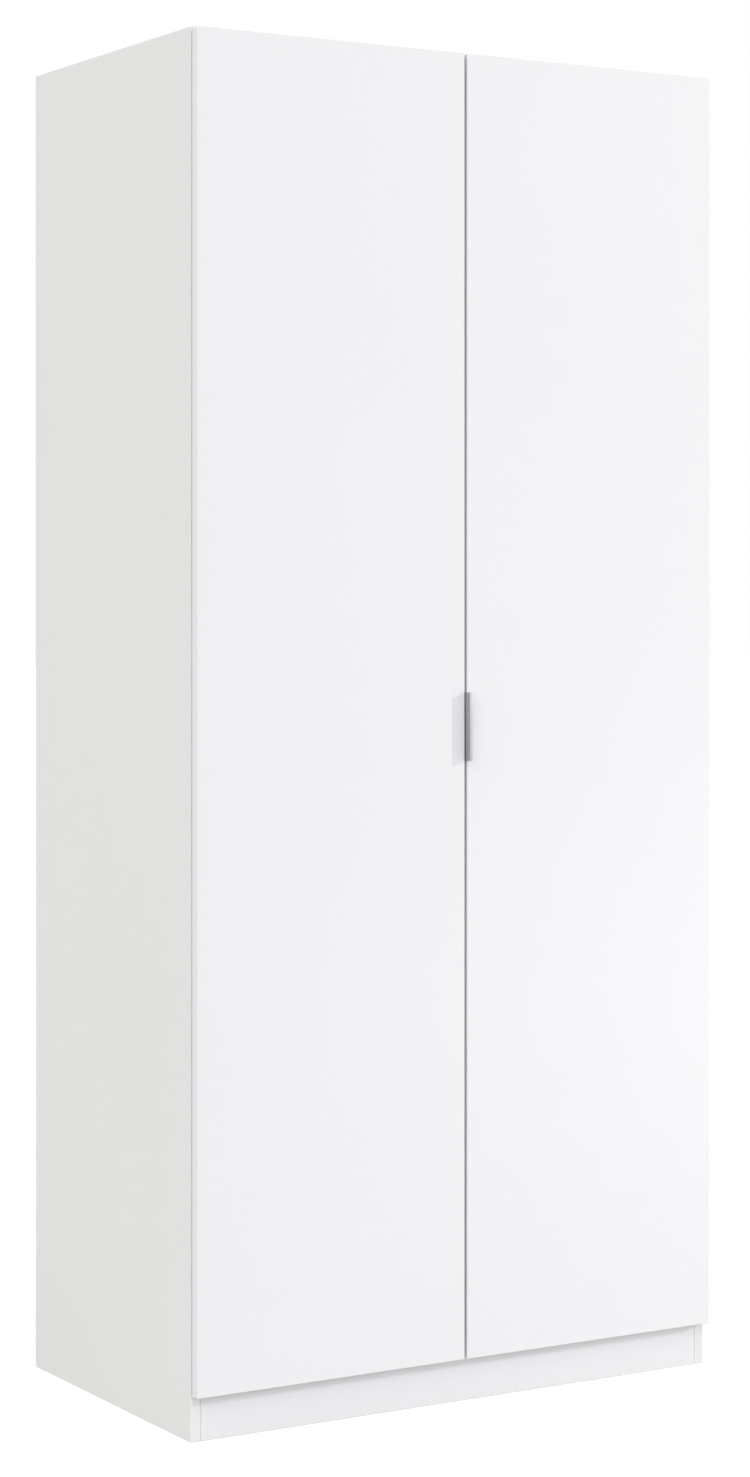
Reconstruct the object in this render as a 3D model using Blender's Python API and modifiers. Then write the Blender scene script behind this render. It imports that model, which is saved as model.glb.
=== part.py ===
"""Two-door wardrobe: plain board carcass, two slab doors on cup hinges, one edge pull.

Frame: X to the right, -Y to the room, Z up. The origin is on the floor, under the middle
of the outer box. Both doors are shown shut.
"""
import math

import bmesh
import bpy

# Outer sizes, in metres
WIDTH = 0.900
HEIGHT = 2.000
CARCASS_DEPTH = 0.515
BOARD = 0.016
PLINTH_HEIGHT = 0.070

# Gap left between two pieces that touch
FIT = 0.0003
EDGE_RADIUS = 0.0005
# How far a cutter runs past the face that it enters
OVERCUT = 0.005
# Step that keeps two joined bodies from sharing a plane
HAIR = 0.00005

# Doors
DOOR_THICKNESS = 0.016
DOOR_STANDOFF = 0.0025
DOOR_SIDE_INSET = 0.001
DOOR_TOP_INSET = 0.002
DOOR_FLOOR_CLEARANCE = 0.066
MEETING_GAP = 0.0048

# Back, held in a groove round the carcass
BACK_THICKNESS = 0.003
GROOVE_DEPTH = 0.006
GROOVE_FROM_REAR = 0.012
JOINING_FLANGE_WIDTH = 0.016
JOINING_WALL = 0.001

# Inside
SHELF_UNDERSIDE = 1.690
SHELF_DEPTH = 0.470
SHELF_REAR_CLEARANCE = 0.002
SHELF_END_CLEARANCE = 0.001
SHELF_PIN_RADIUS = 0.0025
SHELF_PIN_DEPTH = 0.008
SHELF_PIN_HEAD_RADIUS = 0.004
SHELF_PIN_HEAD_LENGTH = 0.007
SHELF_PIN_INSET = 0.060
SHELF_HOLE_PITCH = 0.032
SHELF_HOLES_EACH_WAY = 2
RAIL_HEIGHT = 0.030
RAIL_THICKNESS = 0.015
RAIL_WALL = 0.0012
RAIL_DROP = 0.050
RAIL_SOCKET_WALL = 0.002
RAIL_SOCKET_LENGTH = 0.012
RAIL_PLATE_THICKNESS = 0.002
RAIL_PLATE_MARGIN = 0.007
WALL_BRACKET_OFFSET = 0.300
WALL_BRACKET_WIDTH = 0.020
WALL_BRACKET_FORWARD_LEG = 0.035
WALL_BRACKET_DOWN_LEG = 0.045
WALL_BRACKET_GAUGE = 0.002
WALL_BRACKET_HOLE_RADIUS = 0.003
WALL_BRACKET_HOLE_FORWARD = 0.021
WALL_BRACKET_HOLE_DOWN = 0.029

# Cup hinges: each door turns on pins that lie on one upright line
HINGES_PER_DOOR = 4
HINGE_END_DISTANCE = 0.100
PIN_FROM_DOOR_EDGE = 0.0063
PIN_BEHIND_DOOR_BACK = 0.009
PIN_RADIUS = 0.0008
PIN_HALF_LENGTH = 0.007
PIN_CLEARANCE = 0.00025
CUP_RADIUS = 0.0175
CUP_FROM_DOOR_EDGE = 0.003
CUP_WALL = 0.0006
CUP_DEPTH = 0.0118
CUP_RIM_WIDTH = 0.0007
CUP_RIM_THICKNESS = 0.0008
CUP_WING_OFFSET = 0.0095
CUP_WING_WIDTH = 0.014
CUP_WING_SPAN = 0.058
CUP_SCREW_SPACING = 0.045
CUP_SCREW_HOLE_RADIUS = 0.0022
CHEEK_BELOW_RIM = 0.001
CHEEK_INNER = 0.005
CHEEK_OUTER = 0.0082
CHEEK_LENGTH = 0.007
EYE_RADIUS = 0.0017
LINK_THICKNESS = 0.0015
LINK_HALF_WIDTH = 0.0045
LINK_LEG = 0.002
LINK_OUTER_BEND = 0.001
LINK_INNER_BEND = 0.0006
LINK_FLARE_LENGTH = 0.016
LINK_FLARE_RISE = 0.004
ARM_START = 0.034
ARM_END = 0.082
ARM_HEIGHT = 0.0085
ARM_HALF_WIDTH = 0.008
ARM_EDGE_RADIUS = 0.0015
PLATE_HEIGHT = 0.0028
PLATE_BASE_HEIGHT = 0.0022
PLATE_SCREW_LINE = 0.037
PLATE_WING_LENGTH = 0.016
PLATE_HALF_SPAN = 0.0255
PLATE_BODY_START = 0.024
PLATE_BODY_END = 0.068
PLATE_BODY_HALF_WIDTH = 0.0065
PLATE_EDGE_RADIUS = 0.0006

# Edge pull on the right door's meeting edge
PULL_LENGTH = 0.101
PULL_CENTRE_HEIGHT = 1.0023
PULL_PROJECTION = 0.0123
PULL_FIN = 0.0031
PULL_LIP_WIDTH = 0.0045
PULL_LIP_THICKNESS = 0.002
PULL_BACK_LEG = 0.020
PULL_SCREW_SPACING = 0.064
PULL_SCREW_INSET = 0.011
PULL_EDGE_RADIUS = 0.0003
SCREW_SHANK_RADIUS = 0.0017
SCREW_SHANK_LENGTH = 0.011
SCREW_POINT_LENGTH = 0.002
SCREW_HEAD_RADIUS = 0.0034
SCREW_CROWN_RADIUS = 0.0027
SCREW_HEAD_HEIGHT = 0.0016
SCREW_RIM_HEIGHT = 0.0006

# Door bumpers
BUMPER_RADIUS = 0.004
BUMPER_FROM_MEETING_EDGE = 0.030

# Facets round a circle
ROUND_LARGE = 40
ROUND_SMALL = 16

# Planes worked out from the sizes above
OVERALL_DEPTH = CARCASS_DEPTH + DOOR_STANDOFF + DOOR_THICKNESS + PULL_PROJECTION
REAR_Y = OVERALL_DEPTH / 2
FRONT_Y = REAR_Y - CARCASS_DEPTH
DOOR_BACK_Y = FRONT_Y - DOOR_STANDOFF
DOOR_FRONT_Y = DOOR_BACK_Y - DOOR_THICKNESS
SIDE_X = WIDTH / 2
INNER_X = SIDE_X - BOARD
BETWEEN_SIDES_X = INNER_X - FIT
FLOOR_BOARD_TOP = PLINTH_HEIGHT + BOARD
TOP_UNDERSIDE = HEIGHT - BOARD
GROOVE_WIDTH = BACK_THICKNESS + 2 * FIT
BACK_Y = REAR_Y - GROOVE_FROM_REAR - GROOVE_WIDTH / 2
BACK_FACE_Y = BACK_Y - BACK_THICKNESS / 2
DOOR_TOP = HEIGHT - DOOR_TOP_INSET
DOOR_BOTTOM = DOOR_FLOOR_CLEARANCE
DOOR_OUTER_X = SIDE_X - DOOR_SIDE_INSET
SHELF_REAR_Y = BACK_FACE_Y - SHELF_REAR_CLEARANCE
SHELF_FRONT_Y = SHELF_REAR_Y - SHELF_DEPTH
SHELF_PIN_Z = SHELF_UNDERSIDE - FIT - SHELF_PIN_HEAD_RADIUS
PIN_X = DOOR_OUTER_X - PIN_FROM_DOOR_EDGE
PIN_Y = DOOR_BACK_Y - PIN_BEHIND_DOOR_BACK

# Hinge places measured from the pin line, with +x to the middle of the wardrobe
CUP_X = CUP_FROM_DOOR_EDGE + CUP_RADIUS - PIN_FROM_DOOR_EDGE
# the cheeks' outer corners end halfway through the cup's wall
CHEEK_START = math.sqrt((CUP_RADIUS - CUP_WALL / 2) ** 2 - CHEEK_OUTER**2)
DOOR_BACK = PIN_BEHIND_DOOR_BACK
CARCASS_FRONT = DOOR_BACK + DOOR_STANDOFF
SIDE_INNER_FACE = BOARD - DOOR_SIDE_INSET - PIN_FROM_DOOR_EDGE
ARM_UNDERSIDE = SIDE_INNER_FACE + PLATE_HEIGHT + 2 * FIT

# colour, roughness, metallic
FINISHES = {
    "white_board": ((0.87, 0.87, 0.86), 0.45, 0.0),
    "white_door": ((0.90, 0.90, 0.91), 0.38, 0.0),
    "white_hardboard": ((0.84, 0.84, 0.83), 0.55, 0.0),
    "white_plastic": ((0.85, 0.85, 0.84), 0.50, 0.0),
    "clear_rubber": ((0.80, 0.80, 0.78), 0.60, 0.0),
    "zinc": ((0.62, 0.63, 0.64), 0.35, 1.0),
    "nickel": ((0.70, 0.69, 0.67), 0.28, 1.0),
    "aluminium": ((0.52, 0.53, 0.56), 0.40, 1.0),
}

for leftover in list(bpy.data.objects):
    bpy.data.objects.remove(leftover, do_unlink=True)

wardrobe = bpy.data.collections.new("wardrobe")
cutters = bpy.data.collections.new("cutters")
bpy.context.scene.collection.children.link(wardrobe)
bpy.context.scene.collection.children.link(cutters)


# ---- helpers ----

def finish_material(part_name, finish):
    """The part's own material, made on first use and shared by its repeated copies."""
    name = part_name + "_" + finish
    if name in bpy.data.materials:
        return bpy.data.materials[name]
    colour, roughness, metallic = FINISHES[finish]
    material = bpy.data.materials.new(name)
    material.use_nodes = True
    shader = material.node_tree.nodes["Principled BSDF"]
    shader.inputs["Base Color"].default_value = (*colour, 1.0)
    shader.inputs["Roughness"].default_value = roughness
    shader.inputs["Metallic"].default_value = metallic
    material.diffuse_color = (*colour, 1.0)
    return material


def place(name, mesh, location=(0, 0, 0), parent=None, turn=(0, 0, 0), collection=wardrobe):
    """An object at a world location, riding on an unturned parent if one is given."""
    obj = bpy.data.objects.new(name, mesh)
    collection.objects.link(obj)
    obj.rotation_euler = turn
    obj.location = location
    if parent:
        obj.parent = parent
        obj.location = [location[i] - parent.location[i] for i in range(3)]
    return obj


def box_mesh(name, size):
    bm = bmesh.new()
    bmesh.ops.create_cube(bm, size=1.0)
    bmesh.ops.scale(bm, verts=bm.verts, vec=size)
    mesh = bpy.data.meshes.new(name)
    bm.to_mesh(mesh)
    bm.free()
    return mesh


def cylinder_mesh(name, radius, length, facets):
    """A closed cylinder on the Z axis, centred on its origin."""
    bm = bmesh.new()
    size = {"radius1": radius, "radius2": radius, "depth": length}
    bmesh.ops.create_cone(bm, cap_ends=True, segments=facets, **size)
    mesh = bpy.data.meshes.new(name)
    bm.to_mesh(mesh)
    bm.free()
    return smooth(mesh)


def smooth(mesh):
    mesh.shade_smooth()
    mesh.set_sharp_from_angle(angle=math.radians(32))
    return mesh


def outline_mesh(name, outlines, thickness):
    """A flat outline in XY, with any holes, made solid along Z about its own plane."""
    curve = bpy.data.curves.new(name, "CURVE")
    curve.dimensions = "2D"
    curve.fill_mode = "BOTH"
    curve.extrude = thickness / 2
    for points in outlines:
        spline = curve.splines.new("POLY")
        spline.points.add(len(points) - 1)
        for point, (x, y) in zip(spline.points, points):
            point.co = (x, y, 0, 1)
        spline.use_cyclic_u = True
    obj = place(name + "_outline", curve)
    mesh = baked(obj, name)
    bm = bmesh.new()
    bm.from_mesh(mesh)
    bmesh.ops.remove_doubles(bm, verts=bm.verts, dist=0.00001)
    bm.to_mesh(mesh)
    bm.free()
    return smooth(mesh)


def baked(obj, name, helpers=()):
    """The object's finished mesh in world space, after which it and its helpers are removed."""
    finished = obj.evaluated_get(bpy.context.evaluated_depsgraph_get())
    mesh = bpy.data.meshes.new_from_object(finished)
    mesh.transform(finished.matrix_world)
    mesh.name = name
    for used in (obj, *helpers):
        bpy.data.objects.remove(used, do_unlink=True)
    return mesh


def combine(obj, other, operation):
    """Unites or cuts with another object, which then only shows as a wire."""
    modifier = obj.modifiers.new(other.name, "BOOLEAN")
    modifier.operation = operation
    modifier.solver = "EXACT"
    modifier.object = other
    other.hide_render = True
    other.display_type = "WIRE"


def cut(obj, cutter):
    combine(obj, cutter, "DIFFERENCE")


def soften(obj, radius=EDGE_RADIUS):
    modifier = obj.modifiers.new("edges", "BEVEL")
    modifier.width = radius
    modifier.segments = 1
    modifier.limit_method = "ANGLE"


def span(low, high):
    """Size and centre of the box between two corners."""
    size = [high[i] - low[i] for i in range(3)]
    centre = [(high[i] + low[i]) / 2 for i in range(3)]
    return size, centre


def board(name, low, high, finish, parent=None):
    """A flat board between two corners, with softened edges."""
    size, centre = span(low, high)
    obj = place(name, box_mesh(name, size), centre, parent)
    obj.data.materials.append(finish_material(name, finish))
    soften(obj)
    return obj


def box_cutter(name, low, high, parent=None):
    size, centre = span(low, high)
    return place(name, box_mesh(name, size), centre, parent, collection=cutters)


def bore(target, name, radius, start, end, parent=None, facets=ROUND_SMALL):
    """Cuts a round hole between two points that differ along X or along Y."""
    along_x = abs(end[0] - start[0]) > abs(end[1] - start[1])
    length = abs(end[0] - start[0]) if along_x else abs(end[1] - start[1])
    turn = (0, math.pi / 2, 0) if along_x else (math.pi / 2, 0, 0)
    centre = [(start[i] + end[i]) / 2 for i in range(3)]
    mesh = cylinder_mesh(name, radius, length, facets)
    cut(target, place(name, mesh, centre, parent, turn, cutters))


def turned(name, part_name, profile, finish, location, parent, turn, facets=ROUND_SMALL):
    """A solid of revolution. The profile is (radius, height) from the top of the axis down."""
    mesh = bpy.data.meshes.new(name)
    edges = [(i, i + 1) for i in range(len(profile) - 1)]
    mesh.from_pydata([(radius, 0, height) for radius, height in profile], edges, [])
    obj = place(name, mesh, location, parent, turn)
    screw = obj.modifiers.new("turn", "SCREW")
    screw.steps = facets
    screw.render_steps = facets
    screw.use_merge_vertices = True
    screw.merge_threshold = 0.00001
    obj.data.materials.append(finish_material(part_name, finish))
    return obj


def arc(centre, radius, start_degrees, end_degrees, steps):
    """Points round an arc, both ends included."""
    points = []
    for i in range(steps + 1):
        angle = math.radians(start_degrees + (end_degrees - start_degrees) * i / steps)
        points.append((centre[0] + radius * math.cos(angle), centre[1] + radius * math.sin(angle)))
    return points


def stadium(width, height, steps=8):
    """An upright oval with straight sides and half-round ends."""
    radius = width / 2
    rise = height / 2 - radius
    return arc((0, rise), radius, 0, 180, steps) + arc((0, -rise), radius, 180, 360, steps)


# Turns that carry an outline's X and Y to the world's Y and Z, and Z to the world's X
OUTLINE_ACROSS = (math.pi / 2, 0, math.pi / 2)


# ---- carcass ----

def shelf_pin_columns():
    """Where the front and rear columns of shelf-pin holes lie along Y."""
    return {"front": SHELF_FRONT_Y + SHELF_PIN_INSET, "rear": SHELF_REAR_Y - SHELF_PIN_INSET}


def make_side(side, direction):
    name = side + "_side_panel"
    xs = sorted((direction * SIDE_X, direction * INNER_X))
    panel = board(name, (xs[0], FRONT_Y, 0), (xs[1], REAR_Y, HEIGHT), "white_board")
    groove_xs = sorted((direction * (INNER_X - OVERCUT), direction * (INNER_X + GROOVE_DEPTH)))
    half = GROOVE_WIDTH / 2
    groove = box_cutter(
        name + "_groove",
        (groove_xs[0], BACK_Y - half, -OVERCUT),
        (groove_xs[1], BACK_Y + half, HEIGHT + OVERCUT),
    )
    cut(panel, groove)
    for column, y in shelf_pin_columns().items():
        for step in range(-SHELF_HOLES_EACH_WAY, SHELF_HOLES_EACH_WAY + 1):
            z = SHELF_PIN_Z + step * SHELF_HOLE_PITCH
            start = (direction * (INNER_X - OVERCUT), y, z)
            end = (direction * (INNER_X + SHELF_PIN_DEPTH + FIT), y, z)
            bore(panel, "%s_hole_%s_%d" % (name, column, step), SHELF_PIN_RADIUS + FIT, start, end)


def make_level_boards():
    half = GROOVE_WIDTH / 2
    x = BETWEEN_SIDES_X
    top = board("top_panel", (-x, FRONT_Y, TOP_UNDERSIDE), (x, REAR_Y, HEIGHT), "white_board")
    groove = box_cutter(
        "top_panel_groove",
        (-WIDTH, BACK_Y - half, TOP_UNDERSIDE - OVERCUT),
        (WIDTH, BACK_Y + half, TOP_UNDERSIDE + GROOVE_DEPTH),
    )
    cut(top, groove)
    low = (-x, FRONT_Y, PLINTH_HEIGHT)
    bottom = board("bottom_panel", low, (x, REAR_Y, FLOOR_BOARD_TOP), "white_board")
    groove = box_cutter(
        "bottom_panel_groove",
        (-WIDTH, BACK_Y - half, FLOOR_BOARD_TOP - GROOVE_DEPTH),
        (WIDTH, BACK_Y + half, FLOOR_BOARD_TOP + OVERCUT),
    )
    cut(bottom, groove)
    shelf_x = INNER_X - SHELF_END_CLEARANCE
    shelf_top = SHELF_UNDERSIDE + BOARD
    low = (-shelf_x, SHELF_FRONT_Y, SHELF_UNDERSIDE)
    board("hat_shelf", low, (shelf_x, SHELF_REAR_Y, shelf_top), "white_board")


def make_plinths():
    x = BETWEEN_SIDES_X
    top = PLINTH_HEIGHT - FIT
    rear = REAR_Y - GROOVE_FROM_REAR
    board("plinth_front", (-x, FRONT_Y, 0), (x, FRONT_Y + BOARD, top), "white_board")
    board("plinth_rear", (-x, rear - BOARD, 0), (x, rear, top), "white_board")


def make_back():
    """Two hardboard halves in the grooves, joined by an H-section strip down the middle."""
    reach = GROOVE_DEPTH - FIT
    low = FLOOR_BOARD_TOP - reach
    high = TOP_UNDERSIDE + reach
    web_half = JOINING_WALL / 2 + FIT
    y0, y1 = BACK_Y - BACK_THICKNESS / 2, BACK_Y + BACK_THICKNESS / 2
    edge = INNER_X + reach
    for side, x0, x1 in (("left", -edge, -web_half), ("right", web_half, edge)):
        name = "back_panel_" + side
        size, centre = span((x0, y0, low), (x1, y1, high))
        panel = place(name, box_mesh(name, size), centre)
        panel.data.materials.append(finish_material(name, "white_hardboard"))
    inner = BACK_THICKNESS / 2 + FIT
    outer = inner + JOINING_WALL
    flange = JOINING_FLANGE_WIDTH / 2
    web = JOINING_WALL / 2
    section = [
        (-flange, -outer), (flange, -outer), (flange, -inner), (web, -inner),
        (web, inner), (flange, inner), (flange, outer), (-flange, outer),
        (-flange, inner), (-web, inner), (-web, -inner), (-flange, -inner),
    ]
    length = TOP_UNDERSIDE - FLOOR_BOARD_TOP - 2 * FIT
    mesh = outline_mesh("back_joining_strip", [section], length)
    strip = place("back_joining_strip", mesh, (0, BACK_Y, (TOP_UNDERSIDE + FLOOR_BOARD_TOP) / 2))
    strip.data.materials.append(finish_material("back_joining_strip", "white_plastic"))


def make_shelf_pins():
    """Plain stepped pins: the thin end goes in the side, the thick end carries the shelf."""
    profile = [
        (0, SHELF_PIN_HEAD_LENGTH),
        (SHELF_PIN_HEAD_RADIUS, SHELF_PIN_HEAD_LENGTH),
        (SHELF_PIN_HEAD_RADIUS, FIT),
        (SHELF_PIN_RADIUS, FIT),
        (SHELF_PIN_RADIUS, -SHELF_PIN_DEPTH),
        (0, -SHELF_PIN_DEPTH),
    ]
    for side, direction in (("left", -1), ("right", 1)):
        for column, y in shelf_pin_columns().items():
            turn = (0, -direction * math.pi / 2, 0)
            location = (direction * INNER_X, y, SHELF_PIN_Z)
            name = "shelf_pin_%s_%s" % (side, column)
            turned(name, "shelf_pin", profile, "nickel", location, None, turn)


def make_rail():
    """An oval tube that drops into a socket on each side."""
    y = (FRONT_Y + BACK_FACE_Y) / 2
    z = SHELF_UNDERSIDE - RAIL_DROP
    plate_outer = INNER_X - FIT
    plate_inner = plate_outer - RAIL_PLATE_THICKNESS
    length = 2 * (plate_inner - FIT)
    bore_width = RAIL_THICKNESS - 2 * RAIL_WALL
    bore_height = RAIL_HEIGHT - 2 * RAIL_WALL
    section = [stadium(RAIL_THICKNESS, RAIL_HEIGHT), stadium(bore_width, bore_height)]
    tube = outline_mesh("hanging_rail", section, length)
    rail = place("hanging_rail", tube, (0, y, z), None, OUTLINE_ACROSS)
    rail.data.materials.append(finish_material("hanging_rail", "nickel"))

    inner = RAIL_THICKNESS / 2 + FIT
    outer = inner + RAIL_SOCKET_WALL
    low = -(RAIL_HEIGHT - RAIL_THICKNESS) / 2
    high = RAIL_HEIGHT / 2
    cradle = [(outer, high), (inner, high)]
    cradle += arc((0, low), inner, 360, 180, 8)
    cradle += [(-inner, high), (-outer, high)]
    cradle += arc((0, low), outer, 180, 360, 8)
    plate_size = 2 * RAIL_PLATE_MARGIN
    plate = stadium(RAIL_THICKNESS + plate_size, RAIL_HEIGHT + plate_size)
    overlap = RAIL_PLATE_THICKNESS / 2
    body = place("bracket_plate", outline_mesh("bracket_plate", [plate], RAIL_PLATE_THICKNESS))
    wall_length = RAIL_SOCKET_LENGTH + overlap
    wall_mesh = outline_mesh("bracket_wall", [cradle], wall_length)
    wall = place("bracket_wall", wall_mesh, (0, 0, wall_length / 2))
    combine(body, wall, "UNION")
    bracket = smooth(baked(body, "rail_bracket", [wall]))
    bracket.materials.clear()
    bracket.materials.append(finish_material("rail_bracket", "nickel"))
    place_x = (plate_outer + plate_inner) / 2
    place("rail_bracket_left", bracket, (-place_x, y, z), None, OUTLINE_ACROSS)
    # the same bracket turned about the upright
    place("rail_bracket_right", bracket, (place_x, y, z), None, (math.pi / 2, 0, -math.pi / 2))


def make_wall_brackets():
    """Angles under the top, whose upright leg takes a screw through the back into the wall."""
    gauge = WALL_BRACKET_GAUGE
    forward = WALL_BRACKET_FORWARD_LEG
    down = WALL_BRACKET_DOWN_LEG
    section = [(0, 0), (-forward, 0), (-forward, -gauge), (-gauge, -gauge), (-gauge, -down), (0, -down)]
    angle = place("wall_bracket_blank", outline_mesh("wall_bracket", [section], WALL_BRACKET_WIDTH))
    hole = cylinder_mesh("hole", WALL_BRACKET_HOLE_RADIUS, gauge + 2 * OVERCUT, ROUND_SMALL)
    in_upright = (-gauge / 2, -WALL_BRACKET_HOLE_DOWN, 0)
    in_level = (-WALL_BRACKET_HOLE_FORWARD, -gauge / 2, 0)
    upright_hole = place("upright_hole", hole, in_upright, None, (0, math.pi / 2, 0), cutters)
    level_hole = place("level_hole", hole, in_level, None, (math.pi / 2, 0, 0), cutters)
    cut(angle, upright_hole)
    cut(angle, level_hole)
    mesh = smooth(baked(angle, "wall_bracket", [upright_hole, level_hole]))
    mesh.materials.clear()
    mesh.materials.append(finish_material("wall_bracket", "zinc"))
    for side, direction in (("left", -1), ("right", 1)):
        location = (direction * WALL_BRACKET_OFFSET, BACK_FACE_Y - FIT, TOP_UNDERSIDE - FIT)
        place("wall_bracket_" + side, mesh, location, None, OUTLINE_ACROSS)


# ---- doors ----

def hinge_heights():
    """Hinge centres: one near each end of the door and the rest spaced evenly between."""
    low = DOOR_BOTTOM + HINGE_END_DISTANCE
    high = DOOR_TOP - HINGE_END_DISTANCE
    step = (high - low) / (HINGES_PER_DOOR - 1)
    return [low + step * i for i in range(HINGES_PER_DOOR)]


def door_axis(side, direction):
    """The upright line that the door turns on."""
    axis = bpy.data.objects.new(side + "_door_axis", None)
    wardrobe.objects.link(axis)
    axis.location = (direction * PIN_X, PIN_Y, 0)
    return axis


def make_door(side, direction, axis):
    name = side + "_door_panel"
    xs = sorted((direction * DOOR_OUTER_X, direction * MEETING_GAP / 2))
    low = (xs[0], DOOR_FRONT_Y, DOOR_BOTTOM)
    high = (xs[1], DOOR_BACK_Y, DOOR_TOP)
    door = board(name, low, high, "white_door", axis)
    cup_x = direction * (PIN_X - CUP_X)
    for number, z in enumerate(hinge_heights(), 1):
        start = (cup_x, DOOR_BACK_Y - CUP_DEPTH - FIT, z)
        end = (cup_x, DOOR_BACK_Y + OVERCUT, z)
        bore(door, "%s_cup_%d" % (name, number), CUP_RADIUS + FIT, start, end, axis, ROUND_LARGE)
    return door


def make_bumpers(side, direction, axis):
    """Soft discs on the door's back, which meet the front edges of the top and bottom boards."""
    thickness = DOOR_STANDOFF - 2 * FIT
    mesh = cylinder_mesh("door_bumper", BUMPER_RADIUS, thickness, ROUND_SMALL)
    mesh.materials.append(finish_material("door_bumper", "clear_rubber"))
    x = direction * (MEETING_GAP / 2 + BUMPER_FROM_MEETING_EDGE)
    y = DOOR_BACK_Y + FIT + thickness / 2
    for place_name, z in (("upper", HEIGHT - BOARD / 2), ("lower", PLINTH_HEIGHT + BOARD / 2)):
        name = "%s_door_bumper_%s" % (side, place_name)
        place(name, mesh, (x, y, z), axis, (math.pi / 2, 0, 0))


# ---- hinges, each made once about the pin line and used eight times ----

def hinge_cup_mesh():
    """A thin pressed cup with a rim, two screw wings and the cheeks that hold the pin."""
    top = DOOR_BACK + FIT + CUP_RIM_THICKNESS
    bottom = DOOR_BACK - CUP_DEPTH
    flat = (math.pi / 2, 0, 0)

    def upright_disc(name, radius, low, high, collection=wardrobe):
        mesh = cylinder_mesh(name, radius, high - low, ROUND_LARGE)
        return place(name, mesh, (CUP_X, (low + high) / 2, 0), None, flat, collection)

    cup = upright_disc("cup_body", CUP_RADIUS, bottom, top - CUP_RIM_THICKNESS / 2)
    rim = upright_disc("cup_rim", CUP_RADIUS + CUP_RIM_WIDTH, DOOR_BACK + FIT, top)
    wing_x = CUP_X + CUP_WING_OFFSET
    size = (CUP_WING_WIDTH, CUP_RIM_THICKNESS, CUP_WING_SPAN)
    wing_y = top - HAIR - CUP_RIM_THICKNESS / 2
    wing = place("cup_wing", box_mesh("cup_wing", size), (wing_x, wing_y, 0))
    wing_holes = []
    for sign in (-1, 1):
        mesh = cylinder_mesh("wing_hole", CUP_SCREW_HOLE_RADIUS, 2 * OVERCUT, ROUND_SMALL)
        location = (wing_x, top, sign * CUP_SCREW_SPACING / 2)
        wing_holes.append(place("wing_hole_%d" % sign, mesh, location, None, flat, cutters))
    hollow = upright_disc("cup_hollow", CUP_RADIUS - CUP_WALL, bottom + CUP_WALL, top + OVERCUT, cutters)
    cheeks = []
    cheek_top = DOOR_BACK - CHEEK_BELOW_RIM
    cheek_floor = bottom + CUP_WALL / 2
    for sign in (-1, 1):
        zs = sorted((sign * CHEEK_INNER, sign * CHEEK_OUTER))
        start = CUP_X - CHEEK_START
        size, centre = span((start, cheek_floor, zs[0]), (start + CHEEK_LENGTH, cheek_top, zs[1]))
        cheeks.append(place("cheek_%d" % sign, box_mesh("cheek", size), centre))
    pin_bore_half = PIN_HALF_LENGTH + FIT
    pin_bore = cylinder_mesh("pin_bore", PIN_RADIUS + PIN_CLEARANCE, 2 * pin_bore_half, ROUND_SMALL)
    pin_bore = place("pin_bore", pin_bore, (0, 0, 0), collection=cutters)
    combine(cup, rim, "UNION")
    combine(cup, wing, "UNION")
    cut(cup, hollow)
    for cheek in cheeks:
        combine(cup, cheek, "UNION")
    cut(cup, pin_bore)
    for hole in wing_holes:
        cut(cup, hole)
    mesh = smooth(baked(cup, "hinge_cup", [rim, wing, hollow, pin_bore, *cheeks, *wing_holes]))
    mesh.materials.clear()
    mesh.materials.append(finish_material("hinge_cup", "nickel"))
    return mesh


def hinge_arm_mesh():
    """The arm: an eye round the pin, a link out of the cup, and the body over the plate."""
    eye = EYE_RADIUS
    near = ARM_UNDERSIDE
    far = near + LINK_LEG
    link_top = LINK_THICKNESS - eye
    meet = math.degrees(math.asin(link_top / eye))
    body_start = CARCASS_FRONT + ARM_START
    # round the eye from the link's upper side to its lower side, then along to the leg
    outline = arc((0, 0), eye, meet, 270, 12)
    outline += arc((far - LINK_OUTER_BEND, LINK_OUTER_BEND - eye), LINK_OUTER_BEND, 270, 360, 3)
    outline.append((far, body_start - LINK_FLARE_LENGTH))
    outline.append((far + LINK_FLARE_RISE, body_start))
    outline.append((near + FIT, body_start))
    outline.append((near, body_start - LINK_FLARE_RISE))
    inner_corner = (near - LINK_INNER_BEND, link_top + LINK_INNER_BEND)
    outline += arc(inner_corner, LINK_INNER_BEND, 360, 270, 2)
    hole = arc((0, 0), PIN_RADIUS + PIN_CLEARANCE, 0, 360 - 360 / ROUND_SMALL, ROUND_SMALL - 1)
    link = place("link", outline_mesh("link", [outline, hole], 2 * LINK_HALF_WIDTH))
    body_low = (near, body_start - LINK_OUTER_BEND, -ARM_HALF_WIDTH)
    body_high = (near + ARM_HEIGHT, CARCASS_FRONT + ARM_END, ARM_HALF_WIDTH)
    size, centre = span(body_low, body_high)
    body = place("arm_body", box_mesh("arm_body", size), centre)
    soften(body, ARM_EDGE_RADIUS)
    combine(body, link, "UNION")
    mesh = smooth(baked(body, "hinge_arm", [link]))
    mesh.materials.clear()
    mesh.materials.append(finish_material("hinge_arm", "nickel"))
    return mesh


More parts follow.
